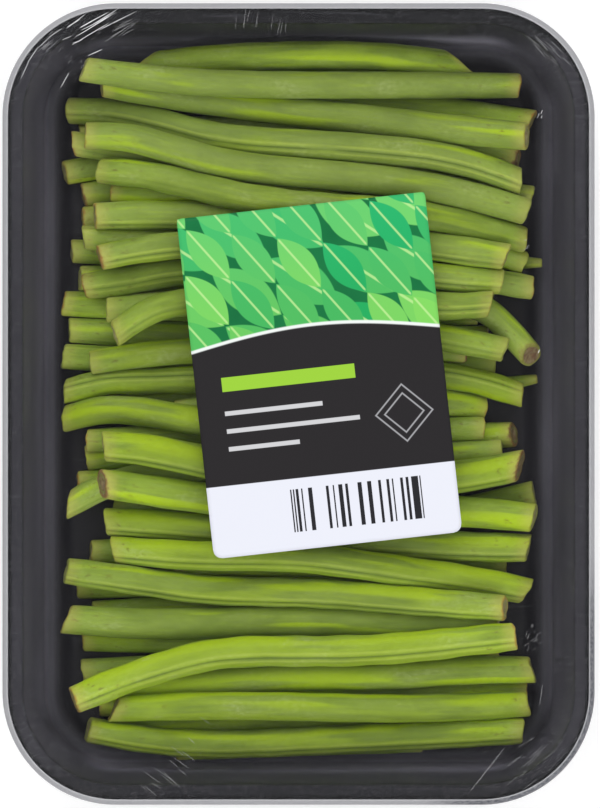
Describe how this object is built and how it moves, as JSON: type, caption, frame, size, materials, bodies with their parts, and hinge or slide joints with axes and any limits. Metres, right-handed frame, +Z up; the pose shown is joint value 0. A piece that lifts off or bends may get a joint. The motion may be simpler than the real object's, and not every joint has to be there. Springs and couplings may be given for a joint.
{
  "type": "green bean bundle",
  "caption": "Bundle of trimmed fine green beans lying side by side in a shallow black tray under clear stretch film, with a paper label on top.",
  "frame": {"origin": "middle of the base, on the surface that the tray stands on", "axes": "+X along the beans, +Y along the tray's length, +Z up"},
  "size_m": [0.133, 0.18, 0.0261],
  "materials": {
    "bean_green": "fresh bean skin: satin, faintly downy, with pale suture lines and dry cut ends",
    "tray_plastic": "thermoformed black plastic, soft gloss",
    "stretch_film": "clear glossy stretch film with wrinkles at the corners",
    "label_paper": null
  },
  "bodies": {
    "root": {"bean_01": "bean_green", "bean_02": "bean_green", "bean_03": "bean_green", "bean_04": "bean_green", "bean_05": "bean_green", "bean_06": "bean_green", "bean_07": "bean_green", "bean_08": "bean_green", "bean_09": "bean_green", "bean_10": "bean_green", "bean_11": "bean_green", "bean_12": "bean_green", "bean_13": "bean_green", "bean_14": "bean_green", "bean_15": "bean_green", "bean_16": "bean_green", "bean_17": "bean_green", "bean_18": "bean_green", "bean_19": "bean_green", "bean_20": "bean_green", "bean_21": "bean_green", "bean_22": "bean_green", "bean_23": "bean_green", "bean_24": "bean_green", "bean_25": "bean_green", "bean_26": "bean_green", "bean_27": "bean_green", "bean_28": "bean_green", "bean_29": "bean_green", "bean_30": "bean_green", "bean_31": "bean_green", "bean_32": "bean_green", "bean_33": "bean_green", "bean_34": "bean_green", "bean_35": "bean_green", "bean_36": "bean_green", "bean_37": "bean_green", "bean_38": "bean_green", "bean_39": "bean_green", "bean_40": "bean_green", "bean_41": "bean_green", "bean_42": "bean_green", "bean_43": "bean_green", "bean_44": "bean_green", "bean_45": "bean_green", "bean_46": "bean_green", "bean_47": "bean_green", "bean_48": "bean_green", "bean_49": "bean_green", "bean_50": "bean_green", "bean_51": "bean_green", "bean_52": "bean_green", "bean_53": "bean_green", "bean_54": "bean_green", "bean_55": "bean_green", "tray": "tray_plastic", "film": "stretch_film", "label": "label_paper"}
  },
  "joints": []
}
